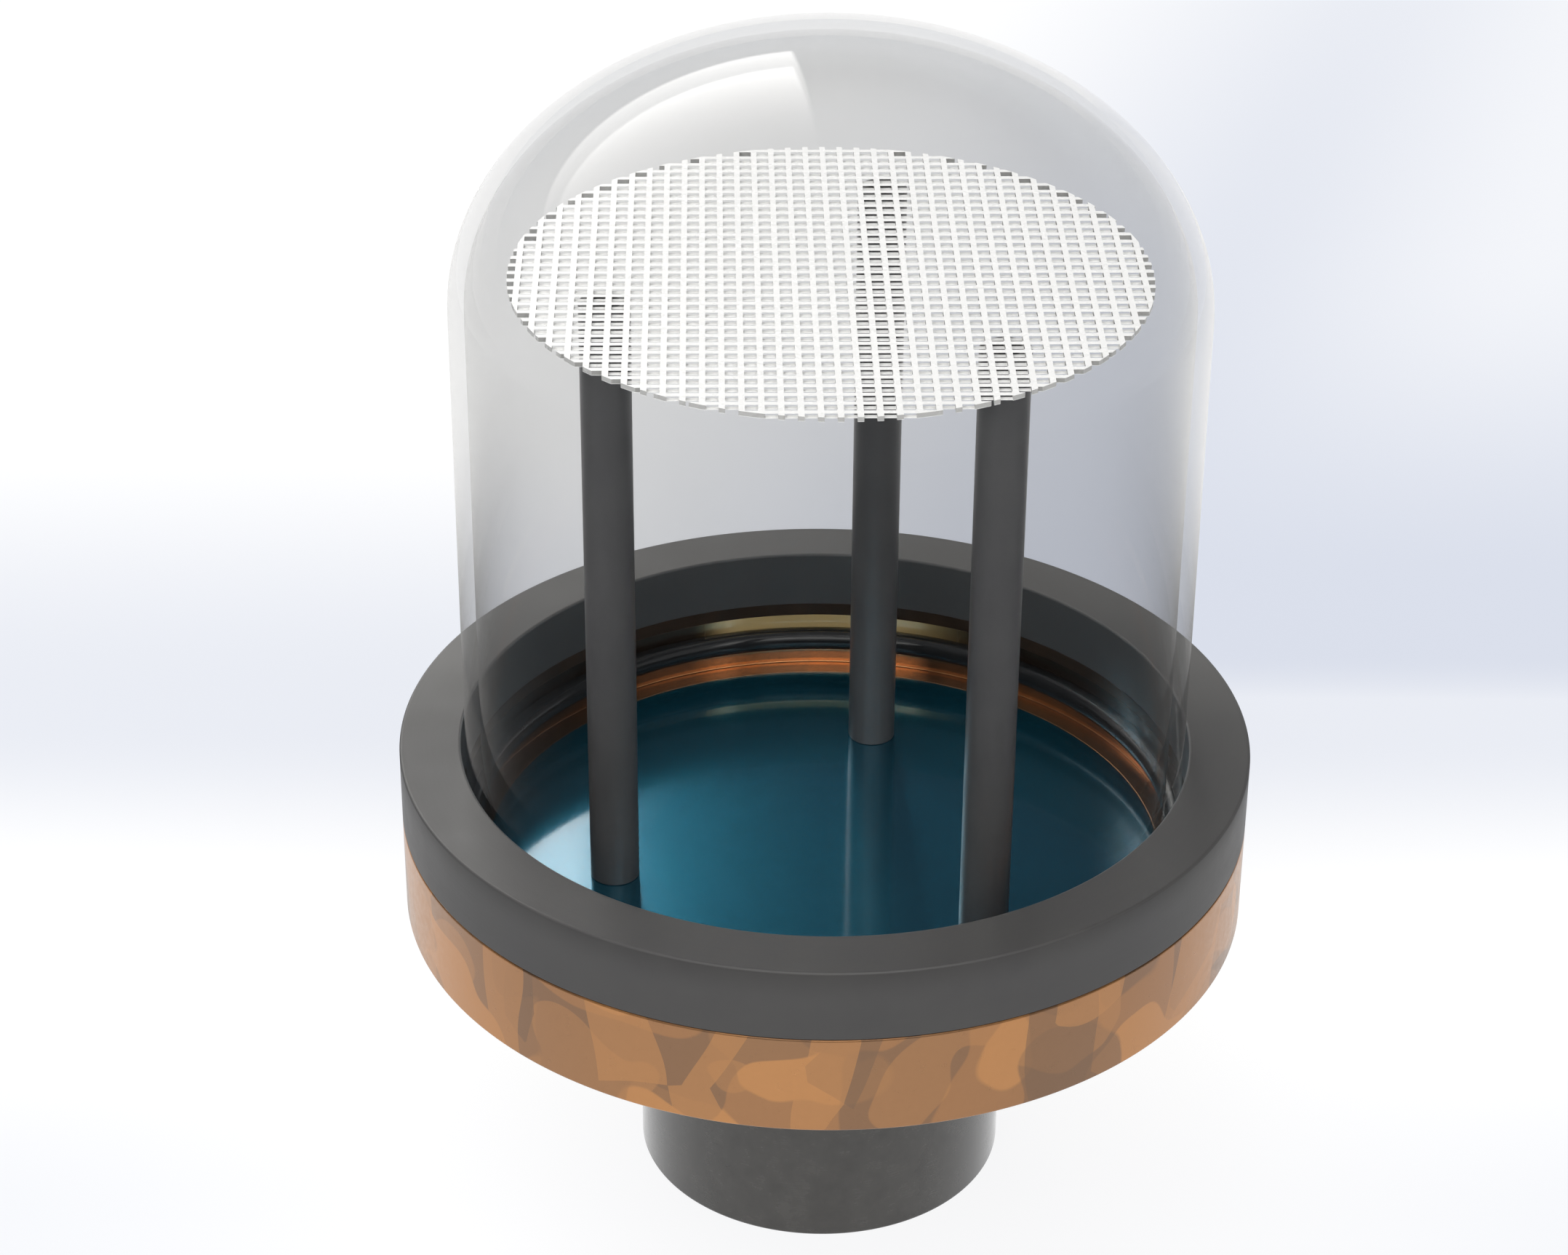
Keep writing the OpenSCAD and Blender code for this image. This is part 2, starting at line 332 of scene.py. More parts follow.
class Nodes:
    """Node tree of a material or of the world, with short calls for what the finishes need."""

    def __init__(self, owner: bpy.types.ID, output: str) -> None:
        """Empties the owner's tree and adds its output.

        Args:
            owner: The material or the world.
            output: Type of the output node, without its ShaderNode prefix.
        """
        owner.use_nodes = True
        self.tree = owner.node_tree
        self.tree.nodes.clear()
        self.output = self.add(output)

    def add(self, kind: str, **settings: object) -> bpy.types.Node:
        """Adds a node and sets its own properties.

        Args:
            kind: Node type without its ShaderNode prefix.
            **settings: Properties of the node.

        Returns:
            The node.
        """
        node = self.tree.nodes.new("ShaderNode" + kind)
        for key, value in settings.items():
            setattr(node, key, value)
        return node

    def feed(self, kind: str, **values: Value) -> bpy.types.Node:
        """Adds a node and fills its sockets.

        Args:
            kind: Node type without its ShaderNode prefix.
            **values: Socket names with underscores for spaces, and their values or outputs.

        Returns:
            The node.
        """
        node = self.add(kind)
        for key, value in values.items():
            self.put(node.inputs[key.replace("_", " ")], value)
        return node

    def put(self, socket: Socket, value: Value) -> None:
        """Links an output to a socket, or sets the socket's own value."""
        if isinstance(value, Socket):
            self.tree.links.new(value, socket)
        elif isinstance(value, tuple) and socket.type == "RGBA":
            socket.default_value = (*value, 1.0)
        else:
            socket.default_value = value

    def show(self, shader: bpy.types.Node) -> None:
        """Links a shader to the output."""
        self.put(self.output.inputs["Surface"], shader.outputs[0])

    def mixed(self, share: Value, first: bpy.types.Node, second: bpy.types.Node) -> bpy.types.Node:
        """Returns a shader between two."""
        node = self.add("MixShader")
        for socket, value in zip(node.inputs, (share, first.outputs[0], second.outputs[0])):
            self.put(socket, value)
        return node

    def place(self) -> Socket:
        """Returns the point of the surface in the object's own frame."""
        return self.add("TexCoord").outputs["Object"]

    def parts(self, vector: Socket) -> tuple[Socket, ...]:
        """Returns the three parts of a vector or a colour."""
        node = self.add("SeparateXYZ")
        self.put(node.inputs[0], vector)
        return tuple(node.outputs)

    def calc(self, operation: str, *values: Value) -> Socket:
        """Returns a sum, a power or another function of numbers."""
        node = self.add("Math", operation=operation)
        for socket, value in zip(node.inputs, values):
            self.put(socket, value)
        return node.outputs[0]

    def product(self, first: Value, *others: Value) -> Socket:
        """Returns the product of two or more numbers."""
        for other in others:
            first = self.calc("MULTIPLY", first, other)
        return first

    def between(self, value: Value, levels: Range) -> Socket:
        """Returns 1 where a value lies between two levels, else 0."""
        low, high = levels
        return self.product(self.calc("GREATER_THAN", value, low), self.calc("LESS_THAN", value, high))

    def distance(self) -> Socket:
        """Returns the distance from the Z axis."""
        x, y, _ = self.parts(self.place())
        return self.calc("SQRT", self.calc("ADD", self.product(x, x), self.product(y, y)))

    def polar(self, around: float) -> Socket:
        """Gives turned coordinates of the surface.

        They are (distance from the axis, height, around * angle * distance), so a pattern on them
        runs round a turned part, and a small around stretches it along the tool's path.

        Args:
            around: Scale of the third coordinate.

        Returns:
            The vector.
        """
        x, y, z = self.parts(self.place())
        distance = self.distance()
        arc = self.product(self.calc("ARCTAN2", y, x), distance, around)
        return self.feed("CombineXYZ", X=distance, Y=z, Z=arc).outputs[0]

    def moved(self, vector: Socket, shift: Point, scale: Point = (1.0, 1.0, 1.0)) -> Socket:
        """Returns a vector after a scale and a shift."""
        return self.feed("Mapping", Vector=vector, Location=shift, Scale=scale).outputs[0]

    def noise(self, vector: Socket, scale: float, detail: float, roughness: float,
              output: str = "Fac") -> Socket:
        """Returns noise from 0 to 1. The scale is in cycles for each metre."""
        node = self.feed("TexNoise", Vector=vector, Scale=scale, Detail=detail, Roughness=roughness)
        return node.outputs[output]

    def spread(self, value: Value, reach: Range, result: Range = (0.0, 1.0),
               kind: str = "LINEAR") -> Socket:
        """Maps a range of a value to another range, held at both ends."""
        node = self.add("MapRange", interpolation_type=kind)
        for socket, number in zip(node.inputs, (value, *reach, *result)):
            self.put(socket, number)
        return node.outputs[0]

    def ease(self, value: Value, reach: Range, result: Range = (0.0, 1.0)) -> Socket:
        """Maps a range as spread does, with soft ends."""
        return self.spread(value, reach, result, "SMOOTHSTEP")

    def blend(self, share: Value, first: Value, second: Value, how: str = "MIX") -> Socket:
        """Returns a colour between two, or the second worked on the first."""
        node = self.add("Mix", data_type="RGBA", blend_type=how)
        for name, value in (("Factor_Float", share), ("A_Color", first), ("B_Color", second)):
            self.put(next(s for s in node.inputs if s.identifier == name), value)
        return next(s for s in node.outputs if s.identifier == "Result_Color")

    def bump(self, height: Socket, distance: float) -> Socket:
        """Returns a normal that follows a height map, distance metres for its whole range."""
        return self.feed("Bump", Distance=distance, Height=height).outputs[0]


class MaterialNodes(Nodes):
    """Nodes of a new material."""

    def __init__(self, name: str) -> None:
        """Starts an empty material."""
        self.material = bpy.data.materials.new(name)
        super().__init__(self.material, "OutputMaterial")


@dataclass(frozen=True)
class ClearGlass:
    """Thin clear glass: it dims what is behind it a little and mirrors at its edges."""

    clean: Colour = (0.896, 0.896, 0.896)
    marked: Colour = (0.888, 0.888, 0.887)
    face_on: float = 0.0015
    rise: float = 5.4
    smear: float = 38.0
    smear_start: Point = (0.2, 0.1, 0.3)
    smear_scale: Point = (1.0, 1.0, 0.45)

    def build(self) -> bpy.types.Material:
        """Builds the finish.

        The mirrored share rises with the view's slant: face_on + (1 - face_on) * slant ^ rise,
        where slant is 1 - cosine of the angle to the normal.
        """
        n = MaterialNodes("clear_glass")
        slant = n.feed("LayerWeight", Blend=0.5).outputs["Facing"]
        share = n.calc("MULTIPLY_ADD", n.calc("POWER", slant, self.rise), 1 - self.face_on,
                       self.face_on)
        smear = n.noise(n.moved(n.place(), self.smear_start, self.smear_scale), self.smear,
                        detail=4.0, roughness=0.6)
        tint = n.blend(n.spread(smear, (0.4, 0.7)), self.clean, self.marked)
        through = n.feed("BsdfTransparent", Color=tint)
        mirror = n.feed("BsdfGlossy", Color=grey(1.0), Roughness=0.0)
        n.show(n.mixed(share, through, mirror))
        return n.material


@dataclass(frozen=True)
class TurnedFinish:
    """A turned opaque surface: two near tones in soft clouds, and fine tool rings.

    What lies within bore_radius of the axis takes the bore's tone: painted light on a bore that lies
    in shade. Towards the back, across fade_reach, the colour goes part of the way over to a lighter
    back tone: painted light where the back catches more light.
    """

    name: str
    light: Colour
    dark: Colour
    rough: Range
    metallic: float = 0.0
    specular: float = 0.5
    cloud: float = 90.0
    rings: float = 4200.0
    ring_depth: float = 0.004 * MM
    varnish: float = 0.0
    varnish_ior: float = 1.4
    varnish_rough: float = 0.05
    # Painted light: a lighter tone for a bore that lies in shade.
    bore: Colour = grey(0.5)
    bore_radius: float = 0.0
    # Painted light: a lighter tone towards the back, where more light falls.
    painted_back_light: Colour = grey(0.5)
    back_light_share: float = 0.0
    fade_reach: Range = (-10 * MM, 55 * MM)
    around: float = 0.02
    ring_wear: float = 0.35
    wear_reach: Range = (0.45, 0.9)
    bore_mottle: Range = (0.0, 0.1)

    def build(self) -> bpy.types.Material:
        """Builds the finish."""
        n = MaterialNodes(self.name)
        place = n.place()
        clouds = n.noise(place, self.cloud, detail=5.0, roughness=0.62)
        lathe = n.noise(n.polar(self.around), self.rings, detail=2.0, roughness=0.5)
        colour = n.blend(n.spread(clouds, MOTTLE), self.dark, self.light)
        # Painted light: the back made lighter.
        if self.back_light_share > 0:
            _, y, _ = n.parts(place)
            colour = n.blend(n.ease(y, self.fade_reach, (0.0, self.back_light_share)), colour, self.painted_back_light)
        # Painted light: the bore made lighter.
        if self.bore_radius > 0:
            inside = n.calc("LESS_THAN", n.distance(), self.bore_radius)
            painted_light_lining = n.blend(n.spread(clouds, MOTTLE, self.bore_mottle), self.bore, self.dark)
            colour = n.blend(inside, colour, painted_light_lining)
        worn = n.calc("MULTIPLY_ADD", lathe, self.ring_wear, clouds)
        n.show(n.feed("BsdfPrincipled", Base_Color=colour, Metallic=self.metallic,
                      Roughness=n.spread(worn, self.wear_reach, self.rough),
                      Specular_IOR_Level=self.specular, Coat_Weight=self.varnish,
                      Coat_IOR=self.varnish_ior, Coat_Roughness=self.varnish_rough,
                      Normal=n.bump(lathe, self.ring_depth)))
        return n.material


# The collar's bore and the back of its top are painted lighter: painted light for a bore in shade and
# a back that catches more light.
DARK_COLLAR = TurnedFinish("dark_collar", (0.036, 0.035, 0.034), (0.031, 0.03, 0.03), (0.42, 0.5),
                           specular=0.33, ring_depth=0.003 * MM, bore=(0.115, 0.118, 0.12),
                           bore_radius=63.6 * MM, painted_back_light=(0.09, 0.088, 0.085), back_light_share=1.0)
DARK_POST = TurnedFinish("dark_post", (0.068, 0.068, 0.069), (0.058, 0.058, 0.06), (0.3, 0.4))
GREY_STEM = TurnedFinish("grey_stem", (0.037, 0.036, 0.033), (0.024, 0.023, 0.021), (0.2, 0.3),
                         specular=0.3, cloud=260.0, varnish=0.8)
PLAIN_STEEL = TurnedFinish("plain_steel", (0.5, 0.5, 0.51), (0.4, 0.4, 0.41), (0.28, 0.42),
                           metallic=1.0)
BLACK_STEEL = TurnedFinish("black_steel", (0.04, 0.04, 0.043), (0.025, 0.025, 0.027), (0.35, 0.5),
                           metallic=0.6)
BRASS = TurnedFinish("brass", (0.62, 0.44, 0.16), (0.5, 0.34, 0.12), (0.25, 0.4), metallic=1.0)
FOIL = TurnedFinish("foil", (0.62, 0.63, 0.65), (0.5, 0.51, 0.53), (0.3, 0.45), metallic=1.0,
                    cloud=300.0)


@dataclass(frozen=True)
class Tarnish:
    """One layer of patches: its place and size in the pattern, its cut, its strength and its tone.

    A layer of soft noise has round patches, a layer of stretched cells straight-sided ones.
    """

    shift: Point
    size: float
    level: float
    share: float
    tone: Colour
    cells: bool = False


@dataclass(frozen=True)
class PatchedCopper:
    """Lacquered copper with large, crisp-edged patches of light and dark tarnish.

    The recess's wall is polished, with a painted highlight line at its foot. It is painted a shaded
    brown to the left and, above the seal, all round but at the back, where a strip of it is a painted
    bright gold highlight.
    """

    light: Colour = (0.44, 0.21, 0.08)
    middle: Colour = (0.315, 0.158, 0.071)
    dark: Colour = (0.18, 0.108, 0.065)
    bore: Colour = (0.3, 0.175, 0.1)
    # Painted shade: dark brown on the recess's wall to the left, and on the upper wall away from the
    # back.
    painted_shade: Colour = (0.1, 0.064, 0.042)
    # Painted highlight: the bright line at the foot of the recess's wall.
    line: Colour = (0.72, 0.32, 0.12)
    # Painted highlight: the bright gold strip on the upper wall at the back.
    strip: Colour = (0.97, 0.71, 0.31)
    patch: float = 60.0
    soft_edge: float = 0.006
    cell_edge: float = 0.005
    cell_scale: Point = (1.0, 1.0, 0.55)
    bend: float = 12 * MM
    bore_radius: float = 64.4 * MM
    floor_level: float = 60.0 * MM
    # Where the painted highlight line lies: ramps at its foot and its top.
    highlight_foot: Range = (62.42 * MM, 62.52 * MM)
    highlight_top: Range = (63.3 * MM, 63.0 * MM)
    strip_level: float = 69.4 * MM
    strip_left: Range = (-25 * MM, -16 * MM)
    strip_right: Range = (32 * MM, 12 * MM)
    # Painted shade: the lower wall goes over to the shaded brown towards the left.
    painted_shade_left: Range = (-24 * MM, -50 * MM)
    painted_shade_share: float = 0.75
    drift: float = 30.0
    streaks: float = 900.0
    streaks_around: float = 0.03
    rings: float = 3600.0
    rings_around: float = 0.02
    ring_depth: float = 0.003 * MM
    grain: float = 700.0
    grain_share: float = 0.07
    rough: Range = (0.27, 0.36)
    polish: float = 0.15
    metallic: Range = (0.85, 0.1)
    lacquer: Range = (0.12, 0.92)
    lacquer_ior: float = 1.9
    lacquer_rough: float = 0.12

    def layers(self) -> tuple[Tarnish, ...]:
        """Lists the layers of patches, the lowest first."""
        return (
            Tarnish((0.1, 0.0, 0.0), 1.0, 0.45, 1.0, self.middle),
            Tarnish((0.0, 0.3, 0.1), 0.9, 0.5, 0.66, self.dark),
            Tarnish((0.5, 0.1, 0.7), 1.3, 0.55, 0.4, self.light),
            Tarnish((0.0, 0.0, 0.02), 1.0, 0.66, 0.6, self.dark, cells=True),
            Tarnish((0.31, 0.17, 0.4), 1.0, 0.7, 0.6, self.light, cells=True),
        )

    def patches(self, n: Nodes) -> Socket:
        """Gives the patched tone.

        Each layer is a pattern cut at its level, which gives crisp blobs, on a point that soft
        noise moves by up to bend. It goes over what is under it with its share.

        Args:
            n: Nodes of the material.

        Returns:
            The colour.
        """
        place = n.place()
        warp = n.add("VectorMath", operation="MULTIPLY_ADD")
        drift = n.noise(place, self.drift, detail=1.0, roughness=0.5, output="Color")
        for socket, value in zip(warp.inputs, (drift, grey(self.bend), place)):
            n.put(socket, value)
        bent = warp.outputs[0]
        tone: Value = self.light
        for layer in self.layers():
            scale = self.patch * layer.size
            if layer.cells:
                cell = n.add("TexVoronoi", feature="F1")
                n.put(cell.inputs["Vector"], n.moved(bent, layer.shift, self.cell_scale))
                n.put(cell.inputs["Scale"], scale)
                field = n.parts(cell.outputs["Color"])[0]
            else:
                field = n.noise(n.moved(bent, layer.shift), scale, detail=0.6, roughness=0.3)
            edge = self.cell_edge if layer.cells else self.soft_edge
            share = n.spread(field, (layer.level - edge, layer.level + edge))
            tone = n.blend(n.product(share, layer.share), tone, layer.tone)
        return tone

    def build(self) -> bpy.types.Material:
        """Builds the finish. Metallic and lacquer go from the copper's values to those of the painted
        highlight strip.
        """
        n = MaterialNodes("patched_copper")
        place = n.place()
        x, y, z = n.parts(place)
        tone = self.patches(n)
        inside = n.product(n.calc("LESS_THAN", n.distance(), self.bore_radius),
                           n.calc("GREATER_THAN", z, self.floor_level))
        upper = n.calc("GREATER_THAN", z, self.strip_level)
        # Painted highlight: the back, where the upper wall is the bright gold strip.
        back = n.product(n.ease(x, self.strip_left), n.ease(x, self.strip_right),
                         n.calc("GREATER_THAN", y, 0.0))
        # Painted shade: the lower wall darker brown to the left.
        left = n.ease(x, self.painted_shade_left, (0.0, self.painted_shade_share))
        # Painted highlight: a bright line at the foot of the wall.
        highlight_band = n.product(n.spread(z, self.highlight_foot), n.spread(z, self.highlight_top))
        streaks = n.noise(n.polar(self.streaks_around), self.streaks, detail=3.0, roughness=0.6)
        wall = n.blend(n.spread(streaks, (0.35, 0.7)), self.bore, tone)
        # The wall takes the painted highlight line, then the painted shade.
        lower_wall = n.blend(left, n.blend(highlight_band, wall, self.line), self.painted_shade)
        # Painted highlight above the seal at the back, painted shade elsewhere.
        upper_wall = n.blend(back, self.painted_shade, self.strip)
        tone = n.blend(inside, tone, n.blend(upper, lower_wall, upper_wall))
        fine = n.noise(place, self.grain, detail=4.0, roughness=0.6)
        tone = n.blend(self.grain_share, tone, n.blend(fine, grey(0.2), grey(0.9)), "OVERLAY")
        rough = n.calc("SUBTRACT", n.spread(fine, MOTTLE, self.rough),
                       n.product(inside, self.polish))
        # The painted highlight strip has its own metallic and lacquer.
        painted_highlight_strip = n.product(inside, upper, back)
        lathe = n.noise(n.polar(self.rings_around), self.rings, detail=2.0, roughness=0.5)
        n.show(n.feed("BsdfPrincipled", Base_Color=tone, Roughness=rough,
                      Metallic=n.spread(painted_highlight_strip, (0.0, 1.0), self.metallic),
                      Coat_Weight=n.spread(painted_highlight_strip, (0.0, 1.0), self.lacquer),
                      Coat_IOR=self.lacquer_ior, Coat_Roughness=self.lacquer_rough,
                      Normal=n.bump(lathe, self.ring_depth)))
        return n.material


@dataclass(frozen=True)
class BlueMirror:
    """Blue anodised plate under a clear polished coat, with faint polishing swirls."""

    deep: Colour = (0.014, 0.158, 0.25)
    bright: Colour = (0.016, 0.184, 0.282)
    edge: Colour = (0.5, 0.5, 0.55)
    metallic: float = 0.88
    rough: Range = (0.17, 0.19)
    coat_ior: float = 1.95
    coat_rough: Range = (0.065, 0.08)
    cloud: float = 26.0
    swirls: float = 1500.0
    swirls_around: float = 0.05

    def build(self) -> bpy.types.Material:
        """Builds the finish."""
        n = MaterialNodes("blue_mirror")
        clouds = n.noise(n.place(), self.cloud, detail=3.0, roughness=0.5)
        swirl = n.noise(n.polar(self.swirls_around), self.swirls, detail=3.0, roughness=0.5)
        n.show(n.feed("BsdfPrincipled", Metallic=self.metallic,
                      Base_Color=n.blend(n.spread(clouds, MOTTLE), self.deep, self.bright),
                      Roughness=n.spread(swirl, MOTTLE, self.rough), Specular_IOR_Level=0.0,
                      Specular_Tint=self.edge, Coat_Weight=1.0, Coat_IOR=self.coat_ior,
                      Coat_Roughness=n.spread(swirl, MOTTLE, self.coat_rough)))
        return n.material


@dataclass(frozen=True)
class Rubber:
    """Moulded rubber with a faint bloom."""

    name: str
    base: Colour
    bloom: Colour
    rough: Range
    specular: float = 0.35
    haze: float = 160.0

    def build(self) -> bpy.types.Material:
        """Builds the finish."""
        n = MaterialNodes(self.name)
        haze = n.noise(n.place(), self.haze, detail=4.0, roughness=0.6)
        n.show(n.feed("BsdfPrincipled", Specular_IOR_Level=self.specular,
                      Base_Color=n.blend(n.spread(haze, (0.4, 0.75)), self.base, self.bloom),
                      Roughness=n.spread(haze, (0.35, 0.7), self.rough)))
        return n.material


BLACK_RUBBER = Rubber("black_rubber", (0.011, 0.012, 0.013), (0.016, 0.016, 0.017), (0.07, 0.085))
BROWN_GASKET = Rubber("brown_gasket", (0.035, 0.02, 0.012), (0.06, 0.036, 0.022), (0.5, 0.75))


@dataclass(frozen=True)
class Enamel:
    """White enamel on both skins of the shelf, with painted shade in grey between them and at the rim,
    and painted light on their inner faces.
    """

    white: Colour = (0.8, 0.8, 0.793)
    shade: Colour = (0.76, 0.76, 0.753)
    # Painted light: the skins' inner faces are whiter where the upper skin shades the lower one.
    painted_light_lining: Colour = (0.94, 0.94, 0.93)
    # Painted shade: grey on the pillars and walls between the skins.
    painted_gap_shade: Colour = (0.28, 0.28, 0.27)
    # Painted shade: grey on the walls between the skins at the rim.
    rim: Colour = (0.4, 0.4, 0.39)
    lap: float = 0.005 * MM
    rim_depth: float = 0.05 * MM
    rough: Range = (0.22, 0.34)
    cloud: float = 220.0
    peel: float = 2400.0
    peel_depth: float = 0.006 * MM

    def build(self, span: Span, skin: float) -> bpy.types.Material:
        """Builds the finish.

        Args:
            span: Reach of the sheet.
            skin: Thickness of each skin.
        """
        n = MaterialNodes("white_enamel")
        place = n.place()
        _, _, z = n.parts(place)
        # The painted shade begins this far in from each outer face.
        metal = skin + self.lap
        gap = n.between(z, (span.low + metal, span.high - metal))
        inner = n.between(z, (span.low + skin / 2, span.high - skin / 2))
        outer = n.calc("GREATER_THAN", n.distance(), span.radius - self.rim_depth)
        clouds = n.noise(place, self.cloud, detail=4.0, roughness=0.6)
        orange_peel = n.noise(place, self.peel, detail=2.0, roughness=0.5)
        coat = n.blend(inner, n.blend(n.spread(clouds, (0.4, 0.8)), self.white, self.shade),
                       self.painted_light_lining)
        # Painted shade between the skins, and painted light on their inner faces.
        n.show(n.feed("BsdfPrincipled",
                      Base_Color=n.blend(gap, coat, n.blend(outer, self.painted_gap_shade, self.rim)),
                      Roughness=n.spread(clouds, MOTTLE, self.rough),
                      Normal=n.bump(orange_peel, self.peel_depth)))
        return n.material


def dress(obj: bpy.types.Object, material: bpy.types.Material, body: Body, slot: str,
          *nodes: str) -> None:
    """Gives a new piece its finish and its body, and hides the nodes that it stands for.

    Args:
        obj: The piece.
        material: Its finish.
        body: The body that it moves with.
        slot: The record's material slot; not used.
        *nodes: The nodes that it stands for.
    """
    obj.data.materials.clear()
    obj.data.materials.append(material)
    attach(obj, body.value)
    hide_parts(*nodes)
    LOG.info("%s: %d faces, on %s", obj.name, len(obj.data.polygons), body.value)


def finish_node(name: str, material: bpy.types.Material) -> None:
    """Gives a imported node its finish, with its mesh and place left as they are.

    Args:
        name: Name of the node.
        material: Its finish.
    """
    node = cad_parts[name]
    if not node.material_slots:
        node.data.materials.append(material)
    for slot in node.material_slots:
        slot.material = material
    LOG.info("%s: packed node, %d faces", name, len(node.data.polygons))


@dataclass(frozen=True)
class BellJar:
    """The glass bell jar: straight wall, rounded top, one wall thickness and a fire-polished rim."""

    wall: float = 2.7 * MM
    cap: float = 44.1 * MM
    steps: int = 224
    cap_steps: int = 48
    wall_steps: int = 12
    rim_steps: int = 12

    def profile(self) -> np.ndarray:
        """Gives the jar's section.

        The outside is a quarter ellipse with half axes (radius, cap) above a straight wall, the
        inside is the same with both half axes less by the wall, and a half circle closes the rim.

        Returns:
            Radius and height, from the top of the inside down, round the rim and up the outside.
        """
        span = Span.of("bell_jar")
        spring = span.high - self.cap
        half = self.wall / 2
        around = np.linspace(math.pi / 2, 0, self.cap_steps + 1)
        down = np.linspace(spring, span.low + half, self.wall_steps + 1)[1:-1]
        rim = np.linspace(math.pi, TURN, self.rim_steps + 1)

        def cap(radius: float, height: float) -> np.ndarray:
            """Returns the quarter ellipse with these half axes, from the top down."""
            return np.stack([radius * np.cos(around), spring + height * np.sin(around)], 1)

        inner = cap(span.radius - self.wall, self.cap - self.wall)
        outer = cap(span.radius, self.cap)
        rim_arc = np.stack([span.radius - half + half * np.cos(rim),
                            span.low + half + half * np.sin(rim)], 1)
        inner_wall = np.stack([np.full_like(down, span.radius - self.wall), down], 1)
        outer_wall = np.stack([np.full_like(down, span.radius), down[::-1]], 1)
        path = np.vstack([inner, inner_wall, rim_arc, outer_wall, outer[::-1]])
        path[[0, -1], 0] = 0.0
        return path

    def build(self, glass: bpy.types.Material) -> None:
        """Builds the jar and puts it on its body."""
        jar = piece("glass_jar", *turned(self.profile(), self.steps), Shading.SMOOTH)
        dress(jar, glass, Body.JAR, "clear_glass", "bell_jar")


@dataclass(frozen=True)
class JarSeal:
    """The rubber ring under the jar's rim, with the fine flash line of its mould."""

    steps: int = 224
    section_steps: int = 64
    flash: float = 0.008 * MM
    flash_width: float = 0.05

    def build(self, rubber: bpy.types.Material) -> None:
        """Builds the ring.

        The section is a circle whose radius grows by a narrow ridge,
        flash * exp(-(sine of the angle / flash_width) ^ 2), where the mould's halves met.
        """
        span = Span.of("jar_seal")
        half = (span.high - span.low) / 2
        middle = (span.high + span.low) / 2
        around = np.arange(self.section_steps) * TURN / self.section_steps
        ridge = self.flash * np.exp(-(np.sin(around) / self.flash_width) ** 2)
        radius = half - self.flash + ridge
        profile = np.stack([span.radius - half + radius * np.cos(around),
                            middle + radius * np.sin(around)], 1)
        ring = piece("rubber_ring", *turned(profile, self.steps, closed=True), Shading.SMOOTH)
        dress(ring, rubber, Body.BASE, "black_rubber", "jar_seal")


@dataclass(frozen=True)
class Collar:
    """The dark collar round the jar's foot, and the gasket in the rebate under its inner edge."""

    gasket_width: float = 3.0 * MM
    gasket_inset: float = 0.01 * MM
    edge: float = 0.45 * MM
    rebate_edge: float = 0.15 * MM
    insert_in: float = 4.4 * MM
    insert_radius: float = 2.3 * MM
    insert_depth: float = 7.0 * MM
    inserts: int = 6
    steps: int = 256

    def build(self, dark: bpy.types.Material, rubber: bpy.types.Material) -> None:
        """Builds the collar with its blind holes, and the gasket."""
        ring = Span.of("collar_ring")
        seat = Span.of("collar_gasket")
        bore = seat.radius - self.gasket_width
        wide, narrow = self.edge, self.rebate_edge
        profile = section([
            (seat.radius, ring.low, 0.0), (ring.radius, ring.low, wide),
            (ring.radius, ring.high, wide), (bore, ring.high, wide), (bore, seat.high, narrow),
            (seat.radius, seat.high, 0.0),
        ])
        collar = piece("collar", *turned(profile, self.steps, closed=True), Shading.FLAT)
        cut(collar, *drills(ring.radius - self.insert_in, self.inserts, self.insert_radius,
                            ring.low - MM, ring.low + self.insert_depth))
        shade(collar, Shading.BY_ANGLE)
        dress(collar, dark, Body.BASE, "dark_collar", "collar_ring")
        inner = bore + self.gasket_inset
        strip = section([(inner, seat.low, 0.0), (seat.radius, seat.low, narrow),
                         (seat.radius, seat.high, narrow), (inner, seat.high, narrow)])
        gasket = piece("gasket", *turned(strip, self.steps, closed=True), Shading.BY_ANGLE)
        dress(gasket, rubber, Body.BASE, "brown_gasket", "collar_gasket")


